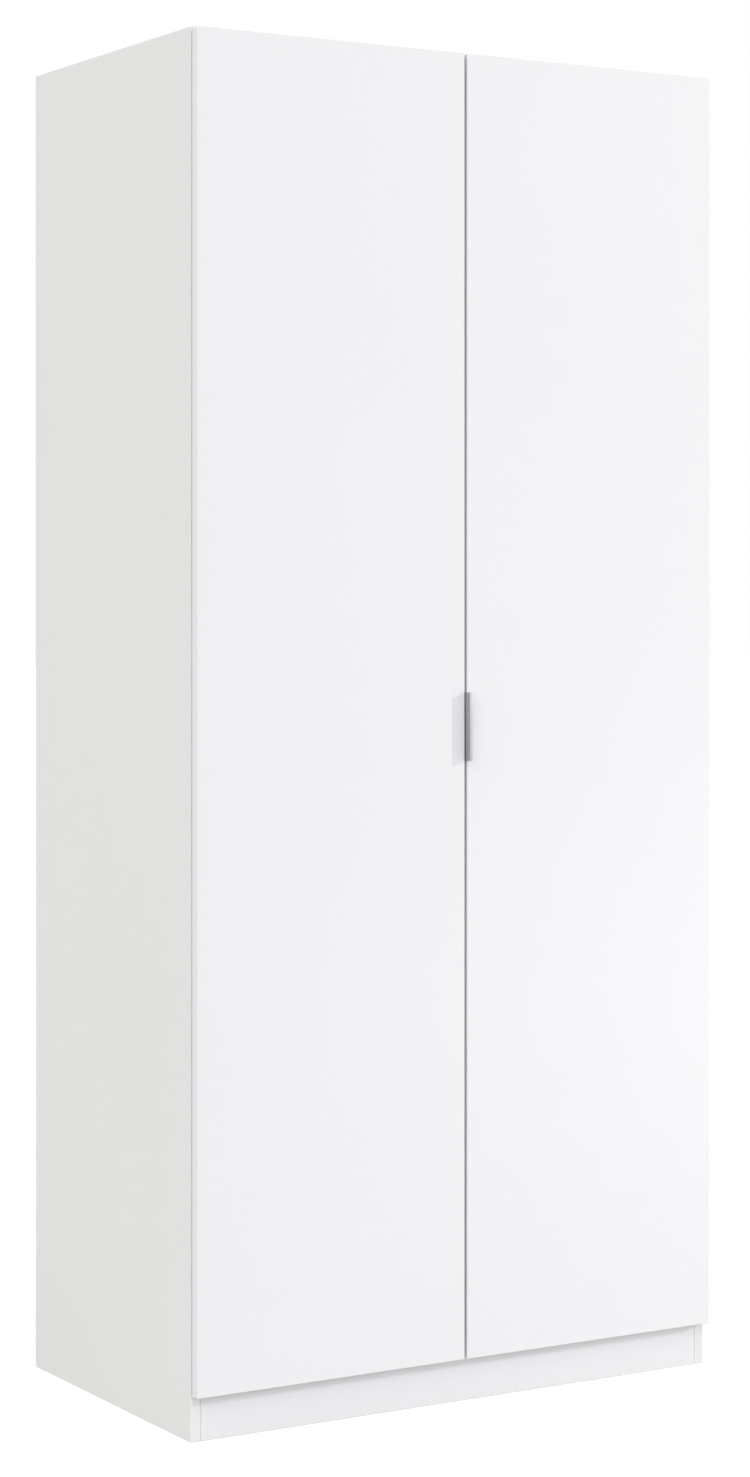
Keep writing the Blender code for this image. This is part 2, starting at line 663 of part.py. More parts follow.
def hinge_plate_mesh():
    """The cross-shaped plate on the side panel: two screw wings and a raised bed."""
    foot = SIDE_INNER_FACE + FIT
    screw_line = CARCASS_FRONT + PLATE_SCREW_LINE
    wing_low = (foot, screw_line - PLATE_WING_LENGTH / 2, -PLATE_HALF_SPAN)
    wing_high = (foot + PLATE_BASE_HEIGHT, screw_line + PLATE_WING_LENGTH / 2, PLATE_HALF_SPAN)
    bed_low = (foot, CARCASS_FRONT + PLATE_BODY_START, -PLATE_BODY_HALF_WIDTH)
    bed_high = (foot + PLATE_HEIGHT, CARCASS_FRONT + PLATE_BODY_END, PLATE_BODY_HALF_WIDTH)
    size, centre = span(wing_low, wing_high)
    plate = place("plate_wings", box_mesh("plate_wings", size), centre)
    soften(plate, PLATE_EDGE_RADIUS)
    size, centre = span(bed_low, bed_high)
    centre[0] += HAIR
    bed = place("plate_bed", box_mesh("plate_bed", size), centre)
    combine(plate, bed, "UNION")
    mesh = smooth(baked(plate, "hinge_plate", [bed]))
    mesh.materials.clear()
    mesh.materials.append(finish_material("hinge_plate", "nickel"))
    return mesh


def make_hinges(axes):
    cup = hinge_cup_mesh()
    arm = hinge_arm_mesh()
    plate = hinge_plate_mesh()
    pin = cylinder_mesh("hinge_pin", PIN_RADIUS, 2 * PIN_HALF_LENGTH, ROUND_SMALL)
    pin.materials.append(finish_material("hinge_pin", "zinc"))
    for side, direction in (("left", -1), ("right", 1)):
        axis = axes[side]
        # a hinge is the same above and below its middle, so half a turn makes it the other hand
        turn = (0, 0, 0) if side == "left" else (0, math.pi, 0)
        for number, z in enumerate(hinge_heights(), 1):
            location = (direction * PIN_X, PIN_Y, z)
            place("%s_hinge_cup_%d" % (side, number), cup, location, axis, turn)
            place("%s_hinge_pin_%d" % (side, number), pin, location, axis, turn)
            place("%s_hinge_arm_%d" % (side, number), arm, location, None, turn)
            place("%s_hinge_plate_%d" % (side, number), plate, location, None, turn)


# ---- edge pull ----

def make_edge_pull(door, axis):
    """An extruded angle: screwed behind the door, out through the meeting gap, with a front lip."""
    back = FIT
    back_end = back + PULL_FIN
    fin_outer = -FIT - PULL_FIN
    fin_inner = -FIT
    front = -DOOR_THICKNESS - PULL_PROJECTION
    lip_end = fin_outer + PULL_LIP_WIDTH
    section = [
        (PULL_BACK_LEG, back), (PULL_BACK_LEG, back_end), (fin_outer, back_end),
        (fin_outer, front), (lip_end, front),
        (lip_end, front + PULL_LIP_THICKNESS), (fin_inner, front + PULL_LIP_THICKNESS),
        (fin_inner, back),
    ]
    edge_x = MEETING_GAP / 2
    location = (edge_x, DOOR_BACK_Y, PULL_CENTRE_HEIGHT)
    pull = place("edge_pull", outline_mesh("edge_pull", [section], PULL_LENGTH), location, axis)
    pull.data.materials.append(finish_material("edge_pull", "aluminium"))
    soften(pull, PULL_EDGE_RADIUS)

    hole_radius = SCREW_SHANK_RADIUS + FIT
    head_seat = back_end + FIT
    profile = [
        (0, head_seat + SCREW_HEAD_HEIGHT),
        (SCREW_CROWN_RADIUS, head_seat + SCREW_HEAD_HEIGHT),
        (SCREW_HEAD_RADIUS, head_seat + SCREW_RIM_HEIGHT),
        (SCREW_HEAD_RADIUS, head_seat),
        (SCREW_SHANK_RADIUS, head_seat),
        (SCREW_SHANK_RADIUS, SCREW_POINT_LENGTH - SCREW_SHANK_LENGTH),
        (0, -SCREW_SHANK_LENGTH),
    ]
    x = edge_x + PULL_SCREW_INSET
    for name, sign in (("upper", 1), ("lower", -1)):
        z = PULL_CENTRE_HEIGHT + sign * PULL_SCREW_SPACING / 2
        start = (x, DOOR_BACK_Y - SCREW_SHANK_LENGTH - FIT, z)
        end = (x, DOOR_BACK_Y + OVERCUT, z)
        bore(door, "door_screw_hole_" + name, hole_radius, start, end, axis)
        bore(pull, "pull_screw_hole_" + name, hole_radius, start, end, axis)
        screw_name = "edge_pull_screw_" + name
        location = (x, DOOR_BACK_Y, z)
        turned(screw_name, "edge_pull_screw", profile, "zinc", location, axis, (-math.pi / 2, 0, 0))


# ---- the wardrobe ----

make_side("left", -1)
make_side("right", 1)
make_level_boards()
make_plinths()
make_back()
make_shelf_pins()
make_rail()
make_wall_brackets()

door_axes = {"left": door_axis("left", -1), "right": door_axis("right", 1)}
left_door = make_door("left", -1, door_axes["left"])
right_door = make_door("right", 1, door_axes["right"])
make_bumpers("left", -1, door_axes["left"])
make_bumpers("right", 1, door_axes["right"])
make_hinges(door_axes)
make_edge_pull(right_door, door_axes["right"])
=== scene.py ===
"""Finishes, smooth hardware and small fixings for a two-door wardrobe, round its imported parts."""
import math

import bmesh
import bpy
from mathutils import Matrix, Vector


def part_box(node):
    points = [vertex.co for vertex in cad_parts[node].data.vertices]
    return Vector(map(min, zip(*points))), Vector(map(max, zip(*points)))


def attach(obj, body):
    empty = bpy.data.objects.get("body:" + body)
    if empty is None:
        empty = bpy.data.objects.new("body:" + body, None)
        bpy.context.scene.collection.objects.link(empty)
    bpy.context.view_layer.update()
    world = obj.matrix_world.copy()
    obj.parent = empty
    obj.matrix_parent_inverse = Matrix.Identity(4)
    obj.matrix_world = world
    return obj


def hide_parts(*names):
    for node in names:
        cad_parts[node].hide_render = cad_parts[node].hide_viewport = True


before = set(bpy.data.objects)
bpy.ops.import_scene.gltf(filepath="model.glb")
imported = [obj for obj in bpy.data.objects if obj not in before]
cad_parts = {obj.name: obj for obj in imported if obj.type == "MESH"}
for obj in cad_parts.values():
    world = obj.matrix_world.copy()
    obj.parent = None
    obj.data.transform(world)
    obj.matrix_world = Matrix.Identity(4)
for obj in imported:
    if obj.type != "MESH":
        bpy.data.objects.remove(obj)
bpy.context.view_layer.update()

MM = 0.001
SIDES = {"left": -1, "right": 1}
HINGE_NUMBERS = (1, 2, 3, 4)

# Sizes in metres. A hinge is measured from its pin: x to the wardrobe's middle, y to its back.
BAND_THICKNESS = 0.8 * MM
ARRIS_WIDTH = 1.2 * MM
PIN_RADIUS = 0.8 * MM
PIN_HALF_LENGTH = 7.0 * MM
EYE_RADIUS = 1.7 * MM
EYE_BORE = 1.05 * MM
CUP_CENTRE = 14.2 * MM
CUP_RADIUS = 17.5 * MM
CUP_INNER_RADIUS = 16.9 * MM
CUP_RIM_RADIUS = 18.2 * MM
CUP_FLOOR = -2.8 * MM
CUP_INNER_FLOOR = -2.2 * MM
RIM_LOW = 9.3 * MM
RIM_HIGH = 10.1 * MM
EAR_NEAR = 2.5 * MM
EAR_FAR = 16.5 * MM
EAR_TIP = 29.0 * MM
EAR_CORNER = 4.0 * MM
EAR_SCREW_X = 23.7 * MM
EAR_SCREW_Z = 22.5 * MM
CHEEK_X = (-0.92 * MM, 6.08 * MM)
CHEEK_Y = (-2.5 * MM, 8.0 * MM)
CHEEK_Z = (5.0 * MM, 8.2 * MM)
LINK_TOP = -0.2 * MM
LINK_HALF_WIDTH = 4.5 * MM
ARM_LOW = 12.1 * MM
LINK_FAR = 14.1 * MM
ARM_HIGH = 20.6 * MM
ARM_FRONT = 44.5 * MM
BODY_FRONT = 45.5 * MM
FLARE_START = BODY_FRONT - 16.0 * MM
FLARE_MIDDLE = BODY_FRONT - 8.5 * MM
FLARE_RISE = 4.0 * MM
ARM_REAR = 93.5 * MM
ARM_HALF_WIDTH = 8.0 * MM
PLATE_FOOT = 9.0 * MM
WING_TOP = 11.2 * MM
BED_TOP = 11.8 * MM
WING_Y = (40.5 * MM, 56.5 * MM)
BED_Y = (35.5 * MM, 79.5 * MM)
WING_REACH = 25.5 * MM
BED_HALF_WIDTH = 6.5 * MM
PLATE_SCREW_Z = 16.0 * MM
TRAY_RIM = 1.0 * MM
TRAY_SLOPE = 0.6 * MM
TRAY_DEPTH = 0.9 * MM
TRAY_FLOOR = ARM_HIGH - 0.95 * MM
SIDE_ADJUSTER_Y = ARM_FRONT + 15.0 * MM
DEPTH_ADJUSTER_Y = ARM_REAR - 14.0 * MM

# Fastener heads as (radius, height), and how far a head sinks into what it clamps
BOARD_SCREW_HEAD = (3.9 * MM, 1.5 * MM)
SIDE_ADJUSTER_HEAD = (3.1 * MM, 1.3 * MM)
DEPTH_ADJUSTER_HEAD = (4.0 * MM, 1.6 * MM)
SOCKET_SCREW_HEAD = (2.2 * MM, 1.1 * MM)
BRACKET_SCREW_HEAD = (4.2 * MM, 1.7 * MM)
PULL_SCREW_HEAD_HEIGHT = 1.6 * MM
PULL_SCREW_SHANK = 1.7 * MM
SCREW_SINK = 0.1 * MM

# Turns that carry a flat shape's x, y and z to the world's y, z and x, or lay its z along y
ACROSS = Matrix(((0, 0, 1, 0), (1, 0, 0, 0), (0, 1, 0, 0), (0, 0, 0, 1)))
TO_BACK = Matrix.Rotation(-math.pi / 2, 4, "X")
TO_FRONT = Matrix.Rotation(math.pi / 2, 4, "X")
TO_RIGHT = Matrix.Rotation(math.pi / 2, 4, "Y")
TO_LEFT = Matrix.Rotation(-math.pi / 2, 4, "Y")
HALF_TURN = Matrix.Rotation(math.pi, 4, "Y")
UNTURNED = Matrix.Identity(4)


def at(x, y, z):
    return Matrix.Translation((x, y, z))


def middle(node):
    low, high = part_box(node)
    return (low + high) / 2


# ---- shader toolkit ----

class Value:
    """A shader output. Python's operators add the Math nodes that work on it."""

    def __init__(self, finish, socket):
        self.finish = finish
        self.socket = socket

    def maths(self, operation, first, second=0.0):
        return self.finish.node("Math", {"operation": operation}, {0: first, 1: second}, "Value")

    def __add__(self, other):
        return self.maths("ADD", self, other)

    def __sub__(self, other):
        return self.maths("SUBTRACT", self, other)

    def __rsub__(self, other):
        return self.maths("SUBTRACT", other, self)

    def __mul__(self, other):
        return self.maths("MULTIPLY", self, other)

    def __abs__(self):
        return self.maths("ABSOLUTE", self)

    __radd__ = __add__
    __rmul__ = __mul__

    def least(self, other):
        return self.maths("MINIMUM", self, other)

    def most(self, other):
        return self.maths("MAXIMUM", self, other)

    def sine(self):
        return self.maths("SINE", self)


class NodeTree:
    """The nodes of a material or of the world."""

    def __init__(self, owner):
        owner.use_nodes = True
        self.tree = owner.node_tree

    def node(self, kind, settings, values, output):
        """Adds a node: its settings first, then its sockets' values or links."""
        made = self.tree.nodes.new("ShaderNode" + kind)
        for name, setting in settings.items():
            setattr(made, name, setting)
        for key, value in values.items():
            if isinstance(value, Value):
                self.tree.links.new(value.socket, made.inputs[key])
            else:
                made.inputs[key].default_value = value
        return Value(self, made.outputs[output])


class Finish(NodeTree):
    """One material: a Principled shader, and the nodes that vary it over a surface."""

    def __init__(self, name, **constants):
        self.material = bpy.data.materials.new(name)
        super().__init__(self.material)
        self.shader = self.tree.nodes["Principled BSDF"]
        for socket, value in constants.items():
            self.shader.inputs[socket.replace("_", " ")].default_value = value
        self.position = self.node("TexCoord", {}, {}, "Object")

    def axes(self):
        """The position's x, y and z, in metres."""
        return [self.node("SeparateXYZ", {}, {"Vector": self.position}, axis) for axis in "XYZ"]

    def stretched(self, scale):
        values = {0: self.position, 1: scale}
        return self.node("VectorMath", {"operation": "MULTIPLY"}, values, "Vector")

    def noise(self, scale, detail=2.0, roughness=0.5, vector=None):
        values = {
            "Vector": vector or self.position, "Scale": scale,
            "Detail": detail, "Roughness": roughness,
        }
        return self.node("TexNoise", {}, values, "Fac")

    def fade(self, value, start, end):
        """0 at start, rising or falling smoothly to 1 at end."""
        settings = {"interpolation_type": "SMOOTHSTEP"}
        values = {"Value": value, "From Min": start, "From Max": end}
        return self.node("MapRange", settings, values, "Result")

    def blend(self, factor, first, second):
        """Mixes two colours."""
        values = {0: factor, 6: opaque(first), 7: opaque(second)}
        return self.node("Mix", {"data_type": "RGBA"}, values, 2)

    def feed(self, colour, roughness, height, depth):
        """Colour, roughness, and a height that raises the surface by depth, in metres, at 1."""
        bump = self.node("Bump", {}, {"Height": height, "Distance": depth}, "Normal")
        for socket, value in (("Base Color", colour), ("Roughness", roughness), ("Normal", bump)):
            self.tree.links.new(value.socket, self.shader.inputs[socket])
        return self.material


def opaque(colour):
    return colour if isinstance(colour, Value) else (*colour, 1.0)


def shade(colour, by):
    return tuple(min(1.0, channel * by) for channel in colour)


# ---- finishes ----

# Painted light tint: one white foil, warmer on the side boards as if under warmer side light, cooler on
# doors and edge bands as if under cooler front light
WARM_LIT_SIDE_WHITE = (0.729, 0.729, 0.713)
COOL_LIT_DOOR_WHITE = (0.742, 0.742, 0.757)
COOL_LIT_BAND_WHITE = (0.738, 0.738, 0.752)
CHIP_PALE = (0.66, 0.49, 0.30)
CHIP_BROWN = (0.42, 0.27, 0.14)
CHIP_GAP = (0.30, 0.18, 0.09)
HARDBOARD_DARK = (0.335, 0.200, 0.102)
HARDBOARD_BROWN = (0.365, 0.220, 0.113)
HARDBOARD_FIBRE = (0.50, 0.335, 0.195)
PRINT_WHITE = (0.740, 0.740, 0.724)
PRINT_WHITE_DULL = (0.732, 0.732, 0.716)
ALUMINIUM_DARK = (0.34, 0.345, 0.375)
ALUMINIUM_PALE = (0.39, 0.395, 0.425)
ALUMINIUM_CLOUD = (0.42, 0.425, 0.45)
# A paler aluminium, painted on the pull's front face as a highlight
ALUMINIUM_PAINTED_HIGHLIGHT = (0.70, 0.705, 0.74)


def chipboard(finish):
    """Colour and height of a bare chipboard edge: pressed chips with dark gaps between them."""
    cells = {"Vector": finish.stretched((420.0, 420.0, 300.0)), "Scale": 1.0}
    chip = finish.node("TexVoronoi", {}, cells, "Color")
    tone = finish.node("SeparateColor", {}, {"Color": chip}, "Red")
    to_gap = finish.node("TexVoronoi", {"feature": "DISTANCE_TO_EDGE"}, cells, "Distance")
    gap = 1.0 - finish.fade(to_gap, 0.0, 0.09)
    pale = finish.fade(tone + 0.3 * finish.noise(1500.0, 3.0), 0.2, 1.0)
    wood = finish.blend(pale, CHIP_BROWN, CHIP_PALE)
    return finish.blend(0.8 * gap, wood, CHIP_GAP), 1.0 - gap


def foil_board(node, colour, bare_faces=(), sheen=0.42):
    """White foil on chipboard with banded edges. bare_faces, such as "+y", show the chipboard."""
    low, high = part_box(node)
    finish = Finish(node + "_foil")
    position = finish.axes()
    size = high - low
    thin = list(size).index(min(size))
    inside = [size[i] / 2 - abs(position[i] - (high[i] + low[i]) / 2) for i in range(3)]
    wide = [inside[i] for i in range(3) if i != thin]
    from_edge = wide[0].least(wide[1])
    arris = 1.0 - finish.fade(from_edge + inside[thin], 0.0, ARRIS_WIDTH)
    seam = 1.0 - finish.fade(abs(from_edge - BAND_THICKNESS), 0.04 * MM, 0.16 * MM)
    cloud = finish.noise(2.2, 3.0)
    handled = finish.fade(finish.noise(9.0, 4.0, 0.6), 0.55, 0.8)
    worn = arris * finish.fade(finish.noise(70.0, 3.0, 0.6), 0.56, 0.72)
    pebble = finish.noise(900.0, 2.0)
    banded = 1.0 - finish.fade(from_edge, BAND_THICKNESS - 0.05 * MM, BAND_THICKNESS + 0.05 * MM)
    # Painted light tint: the band's cooler white stands in for the cooler front light on the edges
    skin = finish.blend(banded, colour, COOL_LIT_BAND_WHITE)
    skin = finish.blend(finish.fade(cloud, 0.3, 0.7), skin, shade(colour, 0.99))
    skin = finish.blend(0.45 * seam + 0.4 * worn, skin, shade(colour, 0.84))
    rough = sheen + 0.05 * (cloud - 0.5) + 0.06 * handled + 0.1 * worn
    height = 0.6 * pebble - 0.5 * seam - 0.4 * worn
    if bare_faces:
        bare = None
        for sign, axis in bare_faces:
            i = "xyz".index(axis)
            edge, inward = (high[i], -MM) if sign == "+" else (low[i], MM)
            mask = finish.fade(position[i], edge + 0.06 * inward, edge + 0.02 * inward)
            bare = mask if bare is None else bare.most(mask)
        chips, surface = chipboard(finish)
        skin = finish.blend(bare, skin, chips)
        rough = rough + 0.4 * bare
        height = height * (1.0 - bare) + 4.0 * surface * bare
    return finish.feed(skin, rough, height, 0.03 * MM)


def printed_hardboard():
    """Back panels: smooth white print on the inside, bare brown mesh-pressed board behind."""
    finish = Finish("printed_hardboard")
    x, y, z = finish.axes()
    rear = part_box("back_panel_left")[1].y
    bare = finish.fade(y, rear - 0.9 * MM, rear - 0.5 * MM)
    cloud = finish.noise(6.0, 4.0, 0.6)
    fibre = finish.noise(1.0, 4.0, 0.7, finish.stretched((260.0, 260.0, 90.0)))
    brown = finish.blend(finish.fade(cloud, 0.3, 0.7), HARDBOARD_DARK, HARDBOARD_BROWN)
    brown = finish.blend(0.35 * finish.fade(fibre, 0.45, 0.75), brown, HARDBOARD_FIBRE)
    screen = (x * 1700.0).sine() * (z * 1700.0).sine()
    white = finish.blend(finish.fade(cloud, 0.3, 0.7), PRINT_WHITE, PRINT_WHITE_DULL)
    colour = finish.blend(bare, white, brown)
    rough = 0.5 + 0.35 * bare + 0.06 * (cloud - 0.5)
    return finish.feed(colour, rough, bare * (0.5 * screen + fibre) + 0.2 * fibre, 0.08 * MM)


def plated_steel(name, colour, roughness, grain=(900.0, 900.0, 900.0), depth=0.012 * MM):
    """Plated pressings: fine grain, cloudy sheen and a few rubbed patches."""
    finish = Finish(name, Metallic=1.0)
    grained = finish.noise(1.0, 3.0, 0.6, finish.stretched(grain))
    cloud = finish.noise(120.0, 3.0)
    rubbed = finish.fade(finish.noise(260.0, 4.0, 0.7), 0.58, 0.75)
    tone = finish.blend(finish.fade(cloud, 0.3, 0.7), colour, shade(colour, 0.93))
    tone = finish.blend(0.5 * rubbed, tone, shade(colour, 1.08))
    rough = roughness + 0.12 * (grained - 0.5) + 0.08 * (cloud - 0.5) - 0.05 * rubbed
    return finish.feed(tone, rough, grained, depth)


def anodised_aluminium():
    """Edge pull: satin extrusion with fine die lines along its length, with a painted highlight that
    brightens its front face.
    """
    finish = Finish("anodised_aluminium", Metallic=0.7)
    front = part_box("edge_pull")[0].y
    # Painted highlight: a paler colour on the front face stands in for the key light's reflection there
    painted_front_highlight = finish.fade(finish.axes()[1], front + 0.25 * MM, front + 0.05 * MM)
    lines = finish.noise(1.0, 3.0, 0.7, finish.stretched((5200.0, 5200.0, 35.0)))
    cloud = finish.noise(60.0, 3.0)
    tone = finish.blend(finish.fade(lines, 0.35, 0.65), ALUMINIUM_DARK, ALUMINIUM_PALE)
    tone = finish.blend(0.3 * finish.fade(cloud, 0.3, 0.7), tone, ALUMINIUM_CLOUD)
    tone = finish.blend(0.5 * painted_front_highlight, tone, ALUMINIUM_PAINTED_HIGHLIGHT)
    rough = 0.5 + 0.16 * (lines - 0.5) + 0.08 * (cloud - 0.5)
    return finish.feed(tone, rough, lines, 0.01 * MM)


def moulded(name, colour, roughness):
    """Moulded plastic or rubber: fine spark-eroded texture and slight unevenness."""
    finish = Finish(name)
    pebble = finish.noise(2600.0, 2.0)
    cloud = finish.noise(90.0, 3.0)
    tone = finish.blend(finish.fade(cloud, 0.3, 0.7), colour, shade(colour, 0.93))
    rough = roughness + 0.1 * (cloud - 0.5) + 0.06 * pebble
    return finish.feed(tone, rough, pebble, 0.008 * MM)


nickel_plate = plated_steel("nickel_plate", (0.66, 0.65, 0.62), 0.24)
hardened_steel = plated_steel("hardened_steel", (0.42, 0.42, 0.43), 0.32)
zinc_plate = plated_steel("zinc_plate", (0.58, 0.60, 0.62), 0.34, (500.0, 500.0, 500.0))
drawn_steel = plated_steel("drawn_steel", (0.70, 0.70, 0.69), 0.20, (12.0, 2500.0, 2500.0), 0.0015 * MM)
aluminium = anodised_aluminium()
white_plastic = moulded("white_plastic", (0.72, 0.72, 0.70), 0.42)
soft_rubber = moulded("soft_rubber", (0.62, 0.62, 0.58), 0.55)


def paint(node, material):
    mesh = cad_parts[node].data
    mesh.materials.clear()
    mesh.materials.append(material)


def finish_boards():
    """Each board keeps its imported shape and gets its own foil."""
    boards = {
        "left_side_panel": (WARM_LIT_SIDE_WHITE, ("+y", "-z")),
        "right_side_panel": (WARM_LIT_SIDE_WHITE, ("+y", "-z")),
        "top_panel": (WARM_LIT_SIDE_WHITE, ("+y",)),
        "bottom_panel": (WARM_LIT_SIDE_WHITE, ("+y",)),
        "hat_shelf": (WARM_LIT_SIDE_WHITE, ("+y",)),
        "plinth_front": (COOL_LIT_DOOR_WHITE, ("-z", "+z")),
        "plinth_rear": (WARM_LIT_SIDE_WHITE, ("-z", "+z")),
        "left_door_panel": (COOL_LIT_DOOR_WHITE, ()),
        "right_door_panel": (COOL_LIT_DOOR_WHITE, ()),
    }
    for node, (colour, bare_faces) in boards.items():
        paint(node, foil_board(node, colour, bare_faces))
    hardboard = printed_hardboard()
    for side in SIDES:
        paint("back_panel_" + side, hardboard)
        paint("wall_bracket_" + side, zinc_plate)
    paint("back_joining_strip", white_plastic)


# ---- shapes ----

def arc(centre, radius, start, end, steps):
    """Points round an arc, in degrees, both ends included."""
    points = []
    for i in range(steps + 1):
        angle = math.radians(start + (end - start) * i / steps)
        points.append((centre[0] + radius * math.cos(angle), centre[1] + radius * math.sin(angle)))
    return points


def ring(centre, radius, steps):
    return arc(centre, radius, 0, 360, steps)[:-1]


def stadium(width, height, steps=14):
    """An upright oval: straight sides and half-round ends."""
    rise = (height - width) / 2
    return arc((0, rise), width / 2, 0, 180, steps) + arc((0, -rise), width / 2, 180, 360, steps)


def rounded(corners, radii, steps=4):
    """A polygon, anticlockwise, with each corner given its own radius."""
    points = []
    for i, radius in enumerate(radii):
        corner = Vector(corners[i])
        before = (Vector(corners[i - 1]) - corner).normalized()
        after = (Vector(corners[(i + 1) % len(corners)]) - corner).normalized()
        if not radius:
            points.append(tuple(corner))
            continue
        half = before.angle(after) / 2
        hub = corner + (before + after).normalized() * radius / math.sin(half)
        reach = radius / math.tan(half)
        first = corner + before * reach - hub
        last = corner + after * reach - hub
        start = math.degrees(math.atan2(first.y, first.x))
        points += arc(hub, radius, start, start - math.degrees(first.angle_signed(last)), steps)
    return points


def round_arrises(bm, width, segments=2, sharper_than=35):
    if width:
        limit = math.radians(sharper_than)
        edges = [e for e in bm.edges if len(e.link_faces) == 2 and e.calc_face_angle() > limit]
        bmesh.ops.bevel(
            bm, geom=edges, offset=width, offset_type="OFFSET", segments=segments,
            profile=0.5, affect="EDGES", material=-1, clamp_overlap=True,
        )
    return bm


def draw_loop(bm, outline, height):
    verts = [bm.verts.new((x, y, height)) for x, y in outline]
    return [bm.edges.new((verts[i - 1], verts[i])) for i in range(len(verts))]


def slab(outlines, thickness, arris=0.0, segments=2):
    """Flat outlines in XY, any holes after the first, made solid about their own plane."""
    bm = bmesh.new()
    loops = [draw_loop(bm, outline, -thickness / 2) for outline in outlines]
    edges = sum(loops, [])
    if len(outlines) == 1:
        bmesh.ops.contextual_create(bm, geom=edges)
    else:
        bmesh.ops.triangle_fill(bm, use_beauty=True, use_dissolve=True, edges=edges)
    raised = bmesh.ops.extrude_face_region(bm, geom=bm.faces[:], use_keep_orig=True)["geom"]
    verts = [item for item in raised if isinstance(item, bmesh.types.BMVert)]
    bmesh.ops.translate(bm, verts=verts, vec=(0, 0, thickness))
    bmesh.ops.recalc_face_normals(bm, faces=bm.faces)
    return round_arrises(bm, arris, segments)


def block(low, high, arris=0.0, segments=2):
    bm = bmesh.new()
    bmesh.ops.create_cube(bm, size=1.0)
    bmesh.ops.scale(bm, verts=bm.verts, vec=[high[i] - low[i] for i in range(3)])
    bmesh.ops.translate(bm, verts=bm.verts, vec=[(high[i] + low[i]) / 2 for i in range(3)])
    return round_arrises(bm, arris, segments)


def turned(profile, segments=40):
    """A solid turned about Z from (radius, height) points."""
    bm = bmesh.new()
    verts = [bm.verts.new((radius, 0, height)) for radius, height in profile]
    edges = [bm.edges.new(pair) for pair in zip(verts, verts[1:])]
    bmesh.ops.spin(
        bm, geom=verts + edges, cent=(0, 0, 0), axis=(0, 0, 1),
        angle=2 * math.pi, steps=segments, use_merge=True,
    )
    bmesh.ops.remove_doubles(bm, verts=bm.verts, dist=0.001 * MM)
    bmesh.ops.recalc_face_normals(bm, faces=bm.faces)
    return bm


def cross_outline(reach, half_width):
    """The twelve corners of a cross, anticlockwise."""
    points = []
    for turn in ((1, 0), (0, 1), (-1, 0), (0, -1)):
        for x, y in ((reach, -half_width), (reach, half_width), (half_width, half_width)):
            points.append((x * turn[0] - y * turn[1], x * turn[1] + y * turn[0]))
    return points


def screw_head(radius, height, crown=0.78, segments=24):
    """A crowned screw head standing on XY, with a cross-shaped driver recess."""
    top_radius = radius * crown
    profile = [
        (top_radius, height), (radius * 0.94, height * 0.74),
        (radius, height * 0.4), (radius, 0), (0, 0),
    ]
    bm = turned(profile, segments)
    rim = [edge for edge in bm.edges if edge.is_boundary]
    cross = draw_loop(bm, cross_outline(top_radius * 0.74, top_radius * 0.17), height)
    bmesh.ops.triangle_fill(bm, use_beauty=True, edges=rim + cross)
    walls = bmesh.ops.extrude_edge_only(bm, edges=cross)["geom"]
    deep = [item for item in walls if isinstance(item, bmesh.types.BMVert)]
    bmesh.ops.translate(bm, verts=deep, vec=(0, 0, -height * 0.7))
    bmesh.ops.scale(bm, verts=deep, vec=(0.65, 0.65, 1.0))
    bmesh.ops.contextual_create(bm, geom=[edge for edge in bm.edges if edge.is_boundary])
    bmesh.ops.recalc_face_normals(bm, faces=bm.faces)
    return bm


def piece(name, shapes, material, body, replaced=()):
    """Joins placed shapes into one object that rides on a body."""
    whole = bmesh.new()
    for shape, placing in shapes:
        part = bpy.data.meshes.new(name)
        shape.to_mesh(part)
        part.transform(placing)
        whole.from_mesh(part)
        bpy.data.meshes.remove(part)
    mesh = bpy.data.meshes.new(name)
    whole.to_mesh(mesh)
    whole.free()
    mesh.shade_smooth()
    mesh.set_sharp_from_angle(angle=math.radians(38))
    mesh.materials.append(material)
    obj = bpy.data.objects.new(name, mesh)
    bpy.context.scene.collection.objects.link(obj)
    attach(obj, body)
    if replaced:
        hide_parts(*replaced)
    return obj


# ---- hinges ----

